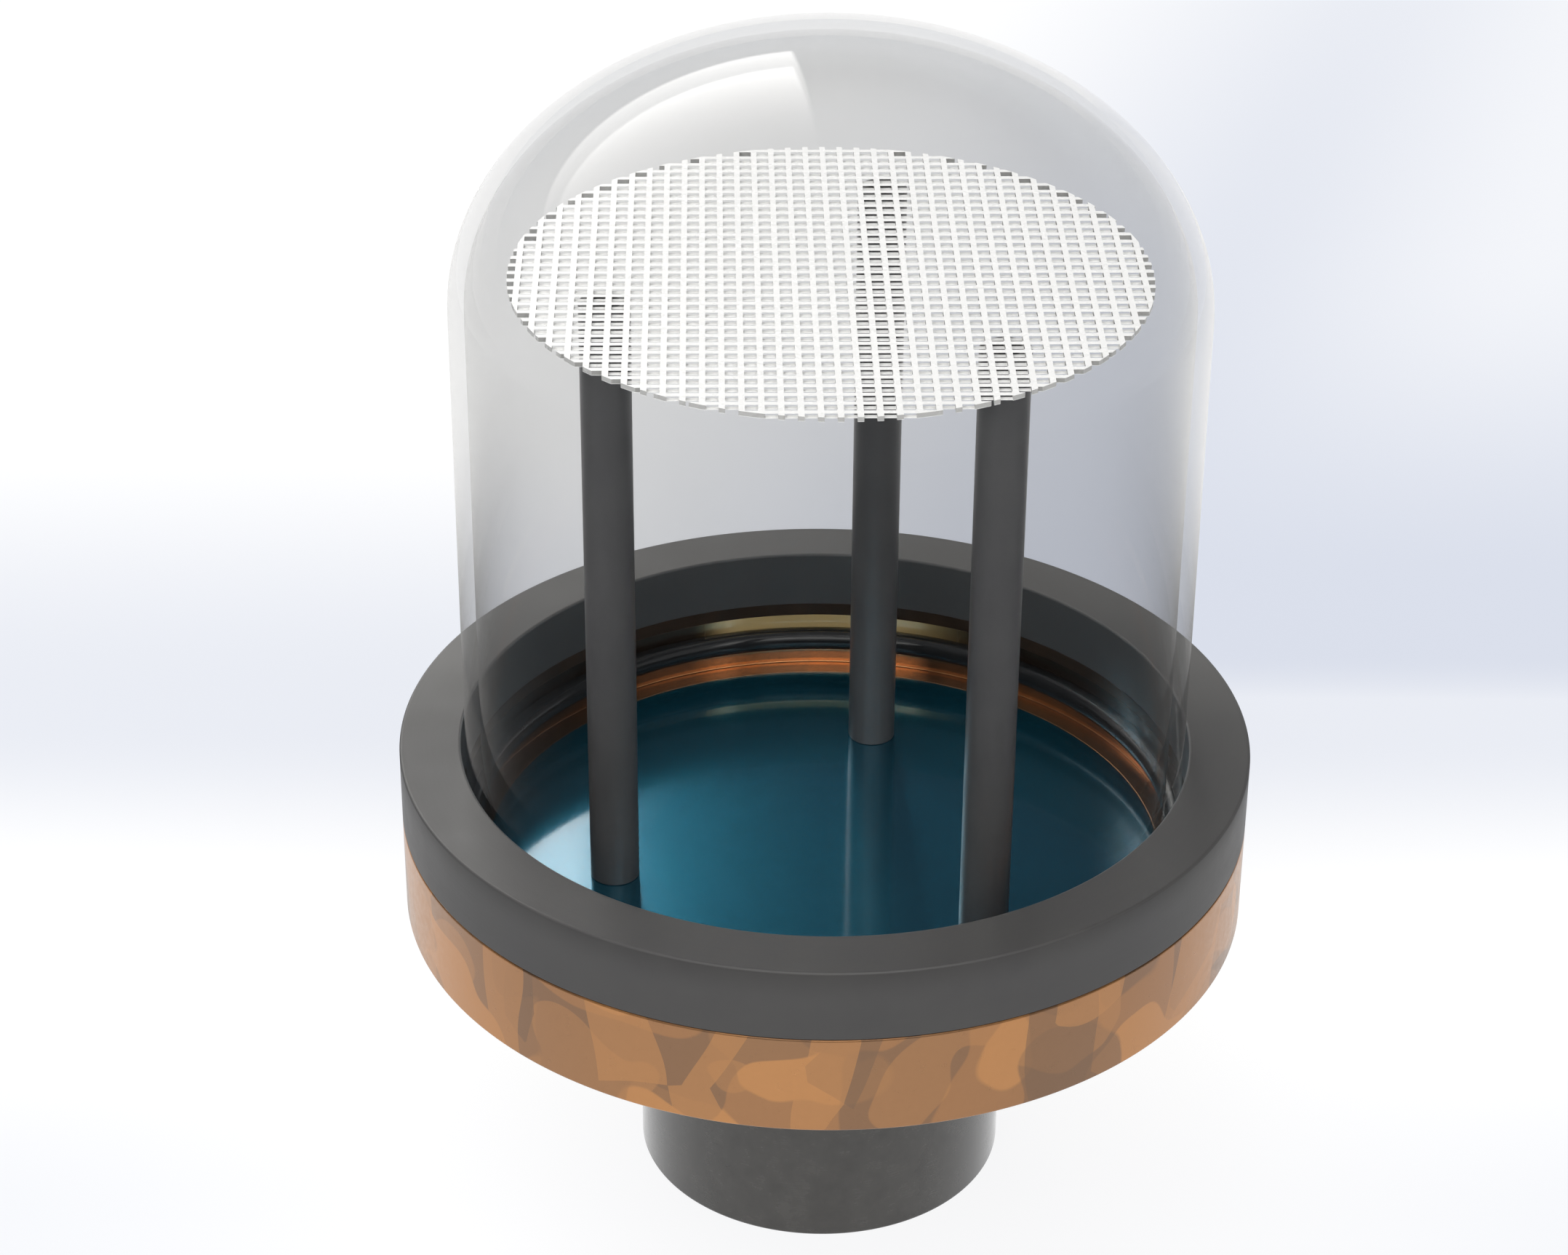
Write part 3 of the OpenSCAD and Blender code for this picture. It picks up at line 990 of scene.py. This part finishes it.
@dataclass(frozen=True)
class CopperBase:
    """The copper base: recess for the jar, groove for its seal, pocket for the plate, screw holes."""

    edge: float = 0.4 * MM
    bore_edge: float = 0.1 * MM
    foot_edge: float = 0.25 * MM
    groove_gap: float = 0.05 * MM
    groove_steps: int = 12
    pocket_gap: float = 0.1 * MM
    screw_in: float = 4.4 * MM
    screws: int = 6
    sink_radius: float = 3.0 * MM
    sink_depth: float = 3.3 * MM
    shank_radius: float = 1.7 * MM
    stem_circle: float = 20.0 * MM
    stem_screws: int = 4
    stem_hole: float = 4.05 * MM
    steps: int = 256

    def groove(self) -> np.ndarray:
        """Gives the seal's groove: the part of a circle round the seal that lies past the bore.

        Returns:
            Radius and height along the arc, from its upper end to its lower end.
        """
        seal = Span.of("jar_seal")
        bore = Span.of("collar_gasket").radius - Collar.gasket_width
        half = (seal.high - seal.low) / 2
        middle = seal.radius - half
        reach = half + self.groove_gap
        swing = math.acos((bore - middle) / reach)
        around = np.linspace(swing, -swing, self.groove_steps + 1)
        return np.stack([middle + reach * np.cos(around),
                         (seal.high + seal.low) / 2 + reach * np.sin(around)], 1)

    def build(self, copper: bpy.types.Material) -> None:
        """Builds the base by turning its section, then drills it."""
        span = Span.of("copper_base")
        plate = Span.of("cold_plate")
        floor = Span.of("plate_foil").low
        groove = self.groove()
        bore = groove[0, 0]
        pocket = plate.radius + self.pocket_gap
        upper = rounded([
            (0.0, span.low, 0.0), (span.radius, span.low, self.edge),
            (span.radius, span.high, self.edge), (bore, span.high, self.bore_edge),
            (bore, groove[0, 1], 0.0),
        ])
        lower = rounded([
            (bore, groove[-1, 1], 0.0), (bore, plate.high, self.foot_edge),
            (pocket, plate.high, self.bore_edge), (pocket, floor, 0.0), (0.0, floor, 0.0),
        ])
        profile = np.vstack([upper, groove[1:-1], lower])
        base = piece("copper_disc", *turned(profile, self.steps), Shading.FLAT)
        circle = span.radius - self.screw_in
        under = span.low - MM
        cut(base, *drills(circle, self.screws, self.sink_radius, under, span.low + self.sink_depth))
        cut(base, *drills(circle, self.screws, self.shank_radius, under, span.high + MM))
        cut(base, *drills(self.stem_circle, self.stem_screws, self.stem_hole, under, span.high))
        shade(base, Shading.BY_ANGLE)
        dress(base, copper, Body.BASE, "copper", "copper_base")


@dataclass(frozen=True)
class Post:
    """One hollow post: open at the top, threaded in its foot."""

    side: str
    bore: float = 2.7 * MM
    thread: float = 3.0 * MM
    thread_height: float = 12.0 * MM
    lip: float = 0.2 * MM
    steps: int = 64

    @property
    def node(self) -> str:
        """Name of the post's node."""
        return "post_" + self.side

    @property
    def centre(self) -> np.ndarray:
        """Place of the post's axis."""
        return np.array([*Span.of(self.node).centre, 0.0])

    def build(self, dark: bpy.types.Material) -> None:
        """Builds the post by turning its section round its own axis."""
        span = Span.of(self.node)
        shoulder = span.low + self.thread_height
        profile = section([
            (self.thread, shoulder, 0.0), (self.thread, span.low, self.lip),
            (span.radius, span.low, self.lip), (span.radius, span.high, self.lip),
            (self.bore, span.high, self.lip), (self.bore, shoulder, 0.0),
        ])
        verts, faces = turned(profile, self.steps, closed=True)
        tube = piece(self.node + "_tube", verts + self.centre, faces, Shading.BY_ANGLE)
        dress(tube, dark, Body.BASE, "dark_post", self.node)


@dataclass(frozen=True)
class ColdPlate:
    """The blue cold plate, flush with the floor of the recess."""

    edge: float = 0.15 * MM
    stud_hole: float = 3.3 * MM
    steps: int = 224

    def build(self, blue: bpy.types.Material, posts: Sequence[Post]) -> None:
        """Builds the plate and drills it where the posts' studs pass.

        Args:
            blue: The plate's finish.
            posts: The posts.
        """
        span = Span.of("cold_plate")
        plate = piece("blue_plate", *disc(span, self.edge, self.steps), Shading.FLAT)
        hole, sides = rod(self.stud_hole, span.low - MM, span.high + MM)
        for post in posts:
            cut(plate, hole + post.centre, sides)
        shade(plate, Shading.BY_ANGLE)
        dress(plate, blue, Body.BASE, "blue_plate", "cold_plate")


@dataclass(frozen=True)
class MeshShelf:
    """The round shelf: two thin white skins with square holes, held apart by small pillars.

    A pillar stands under each crossing of the bars. Bars that reach the rim are solid.
    """

    pitch: float = 3.0 * MM
    bar: float = 1.0 * MM
    turn: float = math.radians(1.3)
    skin: float = 0.04 * MM
    rim_steps: int = 256

    def solid(self, across: np.ndarray, radius: float) -> np.ndarray:
        """Says which blocks of the square sheet are solid.

        Bars (even blocks) and holes (odd ones) take turns along x and y. Along z come a skin, the
        gap and a skin. The skins are solid but for the holes. The gap is solid where two bars
        cross, and where a bar's far corner lies outside the rim.

        Args:
            across: Places of the blocks' borders along x, and the same along y.
            radius: Radius of the rim.

        Returns:
            True for each solid block.
        """
        number = np.arange(len(across) - 1)
        bar_x, bar_y = np.meshgrid(number % 2 == 0, number % 2 == 0, indexing="ij")
        far = np.maximum(np.abs(across[:-1]), np.abs(across[1:]))
        far_x, far_y = np.meshgrid(far, far, indexing="ij")
        skin = bar_x | bar_y
        gap = (bar_x & bar_y) | (skin & (np.hypot(far_x, far_y) > radius))
        return np.stack([skin, gap, skin], 2)

    def build(self, enamel: Enamel) -> None:
        """Builds the square sheet and cuts it round.

        Args:
            enamel: The sheet's finish.
        """
        span = Span.of("mesh_shelf")
        reach = math.ceil(span.radius / self.pitch) + 1
        middle = np.arange(-reach, reach + 1) * self.pitch
        across = (middle[:, None] + np.array([-self.bar / 2, self.bar / 2])).ravel()
        levels = np.array([span.low, span.low + self.skin, span.high - self.skin, span.high])
        verts, faces = blocks(self.solid(across, span.radius), (across, across, levels))
        turn = np.array([[math.cos(self.turn), math.sin(self.turn), 0],
                         [-math.sin(self.turn), math.cos(self.turn), 0], [0, 0, 1]])
        sheet = piece("mesh_sheet", verts @ turn, faces, Shading.FLAT)
        cut(sheet, *rod(span.radius, span.low - MM, span.high + MM, self.rim_steps),
            keep_inside=True)
        shade(sheet, Shading.FLAT)
        dress(sheet, enamel.build(span, self.skin), Body.SHELF, "white_mesh", "mesh_shelf")


@dataclass(frozen=True)
class ColdStem:
    """The solid round stem under the base."""

    edge: float = 0.5 * MM
    hole_circle: float = 20.0 * MM
    holes: int = 4
    hole: float = 2.0 * MM
    hole_depth: float = 11.0 * MM
    steps: int = 192

    def build(self, dark: bpy.types.Material) -> None:
        """Builds the stem and its blind holes."""
        span = Span.of("cold_stem")
        stem = piece("stem", *disc(span, self.edge, self.steps), Shading.FLAT)
        cut(stem, *drills(self.hole_circle, self.holes, self.hole, span.high - self.hole_depth,
                          span.high + MM))
        shade(stem, Shading.BY_ANGLE)
        dress(stem, dark, Body.BASE, "grey_stem", "cold_stem")


@dataclass(frozen=True)
class FloorPaper:
    """The floor's finish: white, with painted shade as a grey valley across it, two corners and a
    blue-grey sweep.

    The valley lies across the view behind the instrument, and the corners to both sides in front of
    it. The sweep starts at the right of a skewed line, is deepest beside the instrument and thins
    to the far right. Each part is a product of soft ramps over the ranges below.
    """

    white: Colour = grey(0.99)
    shadow: Colour = (0.665, 0.7, 0.79)
    glow: float = 0.92
    valley_far: Range = (0.31, 0.155)
    valley_near: Range = (0.068, 0.14)
    valley_share: float = 0.66
    corner_front: Range = (0.045, -0.03)
    corner_side: Range = (0.05, 0.17)
    corner_share: Range = (0.12, 0.36)
    skew: float = -0.35
    sweep_left: Range = (-0.2, 0.0)
    sweep_near: Range = (0.125, 0.175)
    sweep_far: Range = (0.22, 0.6)
    sweep_far_share: Range = (1.0, 0.68)
    thin_right: Range = (-0.04, 0.07)
    thin_share: Range = (0.0, 0.5)
    thin_far: Range = (0.2, 0.4)

    def build(self) -> bpy.types.Material:
        """Builds the finish. It is plain paper to the lamps and glows for eyes and mirrors."""
        n = MaterialNodes("floor")
        x, y, _ = n.parts(n.place())
        valley = n.product(n.ease(y, self.valley_far), n.ease(y, self.valley_near))
        side = n.ease(n.calc("ABSOLUTE", x), self.corner_side, self.corner_share)
        corners = n.product(n.ease(y, self.corner_front), side)
        line = n.calc("MULTIPLY_ADD", y, self.skew, x)
        thin = n.product(n.ease(line, self.thin_right, self.thin_share), n.ease(y, self.thin_far))
        sweep = n.product(n.ease(line, self.sweep_left), n.ease(y, self.sweep_near),
                          n.spread(y, self.sweep_far, self.sweep_far_share),
                          n.calc("SUBTRACT", 1.0, thin))
        # Painted shade: the valley, the corners and the sweep.
        share = n.calc("MAXIMUM", n.calc("MULTIPLY_ADD", valley, self.valley_share, corners), sweep)
        tone = n.blend(share, self.white, self.shadow)
        ray = n.add("LightPath").outputs
        seen = n.calc("MAXIMUM", ray["Is Camera Ray"], ray["Is Glossy Ray"])
        seen = n.calc("MAXIMUM", seen, ray["Is Transmission Ray"])
        n.show(n.mixed(n.product(seen, self.glow), n.feed("BsdfDiffuse", Color=tone),
                       n.feed("Emission", Color=tone)))
        return n.material


@dataclass(frozen=True)
class RingPaper:
    """Grey paper, dark at the front and the sides and paler to the back."""

    front: Range = (0.06, 0.09)
    back: float = 0.52
    fade_reach: Range = (0.0, 0.12)
    rough: Range = (0.85, 0.95)
    specular: float = 0.1
    fibre: float = 60.0

    def build(self) -> bpy.types.Material:
        """Builds the finish."""
        n = MaterialNodes("grey_paper")
        place = n.place()
        _, y, _ = n.parts(place)
        fibre = n.noise(place, self.fibre, detail=3.0, roughness=0.6)
        sides = n.blend(fibre, grey(self.front[0]), grey(self.front[1]))
        tone = n.blend(n.ease(y, self.fade_reach), sides, grey(self.back))
        n.show(n.feed("BsdfPrincipled", Base_Color=tone, Specular_IOR_Level=self.specular,
                      Roughness=n.spread(fibre, (0.0, 1.0), self.rough)))
        return n.material


@dataclass(frozen=True)
class Window:
    """A large soft window, as a range of directions from the instrument.

    Each border is a pair of angles in degrees, shut at the first and open at the second. Azimuths
    count from +Y with wall 1, a window behind the instrument, and from -Y with wall -1.
    """

    wall: float
    left: Range
    right: Range
    foot: Range
    head: Range
    strength: float

    def light(self, n: Nodes, x: Socket, y: Socket, height: Socket) -> Socket:
        """Gives the window's light: its strength times the soft ramp at each border.

        Args:
            n: Nodes of the world.
            x: The direction's part along +X.
            y: The direction's part along +Y.
            height: Its angle over the horizon.

        Returns:
            The light from that direction.
        """
        azimuth = n.calc("ARCTAN2", x, n.product(y, self.wall))
        across = n.product(n.ease(azimuth, radians(self.left)), n.ease(azimuth, radians(self.right)))
        up = n.product(n.ease(height, radians(self.foot)), n.ease(height, radians(self.head)))
        return n.product(across, up, self.strength)


@dataclass(frozen=True)
class Room:
    """The room round the instrument: a tone for each direction, and two windows.

    It is pale at the horizon, dark above it, pale again overhead, and pale all over in front.
    """

    horizon: Colour = (0.8, 0.82, 0.85)
    upper: Colour = (0.074, 0.076, 0.09)
    ceiling: Colour = grey(0.7)
    front: Colour = grey(0.9)
    upper_reach: Range = (18, 32)
    ceiling_reach: Range = (40, 75)
    front_reach: Range = (0.1, -0.5)
    daylight: Colour = (1.0, 0.985, 0.955)
    back_window: Window = Window(1.0, (-75, -42), (-3.1, -3.7), (21.5, 23), (66, 36), 5.4)
    front_window: Window = Window(-1.0, (-42, -34), (42, 34), (21, 25), (72, 64), 3.0)

    def build(self) -> None:
        """Builds the world's light."""
        world = bpy.data.worlds.new("room")
        bpy.context.scene.world = world
        n = Nodes(world, "OutputWorld")
        x, y, z = n.parts(n.add("TexCoord").outputs["Generated"])
        height = n.calc("ARCSINE", z)
        tone = n.blend(n.ease(height, radians(self.upper_reach)), self.horizon, self.upper)
        tone = n.blend(n.ease(height, radians(self.ceiling_reach)), tone, self.ceiling)
        tone = n.blend(n.ease(y, self.front_reach), tone, self.front)
        light = n.calc("ADD", self.back_window.light(n, x, y, height),
                       self.front_window.light(n, x, y, height))
        both = n.add("AddShader")
        n.put(both.inputs[0], n.feed("Background", Color=tone).outputs[0])
        n.put(both.inputs[1], n.feed("Background", Color=self.daylight, Strength=light).outputs[0])
        n.show(both)


@dataclass(frozen=True)
class Studio:
    """Pale floor, grey ring, room, lamps and the camera. Angles are in radians."""

    lens: float = 85.75
    sensor: float = 36.0
    eye: Point = (-0.00722, -0.55732, 0.42573)
    pitch: float = 0.5206528
    roll: float = 0.0072125
    clip: Range = (0.01, 50.0)
    floor_reach: float = 6.0
    ring_inner: float = 0.079
    ring_outer: float = 0.34
    ring_height: float = 0.08
    aim: Point = (0.0, 0.0, 0.1)
    steps: int = 96

    def camera(self) -> None:
        """Places the camera: it looks along +Y, down by the pitch, turned a little by the roll."""
        data = bpy.data.cameras.new("camera")
        data.sensor_width = self.sensor
        data.lens = self.lens
        data.clip_start, data.clip_end = self.clip
        forward = Vector((0, math.cos(self.pitch), -math.sin(self.pitch)))
        up = Vector((0, math.sin(self.pitch), math.cos(self.pitch)))
        across = Vector((1, 0, 0))
        right = across * math.cos(self.roll) + up * math.sin(self.roll)
        top = up * math.cos(self.roll) - across * math.sin(self.roll)
        turn = Matrix((right, top, -forward)).transposed()
        obj = bpy.data.objects.new("camera", data)
        obj.matrix_world = Matrix.Translation(self.eye) @ turn.to_4x4()
        bpy.context.scene.collection.objects.link(obj)
        bpy.context.scene.camera = obj

    def floor(self) -> None:
        """Lays the floor."""
        verts, faces = turned(np.array([[self.floor_reach, 0.0], [0.0, 0.0]]), self.steps)
        obj = piece("floor", verts, faces, Shading.FLAT)
        obj.data.materials.append(FloorPaper().build())

    def ring(self) -> None:
        """Lays a flat paper ring in the air round the instrument, level with its collar.

        It is what the jar's lower sides mirror, so that the collar shows clearly through them. Only
        mirror rays meet it.
        """
        profile = np.array([[self.ring_outer, self.ring_height], [self.ring_inner, self.ring_height]])
        obj = piece("paper_ring", *turned(profile, self.steps), Shading.FLAT)
        obj.data.materials.append(RingPaper().build())
        obj.visible_camera = False
        obj.visible_diffuse = False
        obj.visible_shadow = False

    def lamp(self, name: str, place: Point, size: float, watts: float) -> None:
        """Adds one soft lamp that points at the instrument and shows in no mirror.

        Args:
            name: Name of the lamp.
            place: Where it hangs.
            size: Side of its square face.
            watts: Power.
        """
        data = bpy.data.lights.new(name, "AREA")
        data.size = size
        data.energy = watts
        data.specular_factor = 0.0
        obj = bpy.data.objects.new(name, data)
        turn = (Vector(self.aim) - Vector(place)).to_track_quat("-Z", "Y")
        obj.matrix_world = Matrix.Translation(place) @ turn.to_matrix().to_4x4()
        obj.visible_glossy = False
        bpy.context.scene.collection.objects.link(obj)

    def build(self) -> None:
        """Builds the studio."""
        bpy.context.scene.view_settings.view_transform = "Standard"
        self.camera()
        self.floor()
        self.ring()
        Room().build()
        self.lamp("overhead", (-0.35, -0.15, 1.3), size=0.9, watts=9.0)
        self.lamp("front", (0.2, -1.2, 0.75), size=0.8, watts=3.0)
        LOG.info("studio ready")


def main() -> None:
    """Builds every piece in order."""
    logging.basicConfig(level=logging.INFO, format="%(name)s %(message)s")
    Studio().build()

    posts = [Post(side) for side in ("back", "right", "left")]
    BellJar().build(ClearGlass().build())
    JarSeal().build(BLACK_RUBBER.build())
    Collar().build(DARK_COLLAR.build(), BROWN_GASKET.build())
    CopperBase().build(PatchedCopper().build())
    ColdPlate().build(BlueMirror().build(), posts)
    post_finish = DARK_POST.build()
    for post in posts:
        post.build(post_finish)
    MeshShelf().build(Enamel())
    ColdStem().build(GREY_STEM.build())

    packed = (
        (PLAIN_STEEL, ("stud_back", "stud_right", "stud_left", "stem_screws")),
        (BLACK_STEEL, ("collar_screws",)),
        (BRASS, ("collar_inserts",)),
        (FOIL, ("plate_foil", "stem_foil")),
    )
    for finish, names in packed:
        material = finish.build()
        for name in names:
            finish_node(name, material)


if __name__ == "__main__":
    main()
